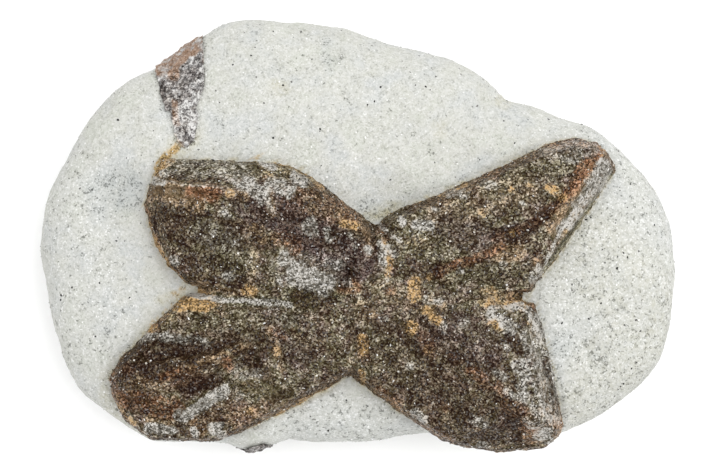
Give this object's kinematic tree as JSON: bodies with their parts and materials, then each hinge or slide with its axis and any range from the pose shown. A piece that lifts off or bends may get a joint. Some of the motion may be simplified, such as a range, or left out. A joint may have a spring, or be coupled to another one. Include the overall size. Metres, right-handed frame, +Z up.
{
  "type": "staurolite cross",
  "caption": "Brown twinned staurolite prisms crossing in an X, set in a rounded, flat-backed piece of pale grey mica schist.",
  "frame": {"origin": "under the middle of the specimen, on the surface it lies on", "axes": "+X along the stone's length, towards the upper right arm; +Y across it; +Z up, out of the face that shows the cross"},
  "size_m": [0.0796, 0.0539, 0.0263],
  "materials": {
    "schist": "natural pale grey mica schist, ground smooth, with fine glinting mica and small dark specks",
    "staurolite": "natural dark brown staurolite, rough, peppered with mica grains and stained with rust",
    "grey_staurolite": "natural grey staurolite cut through at the stone's face, with rusty edges"
  },
  "bodies": {
    "root": {"schist_matrix": "schist", "staurolite_cross": "staurolite", "small_staurolite": "grey_staurolite", "edge_staurolite": "grey_staurolite"}
  },
  "joints": []
}
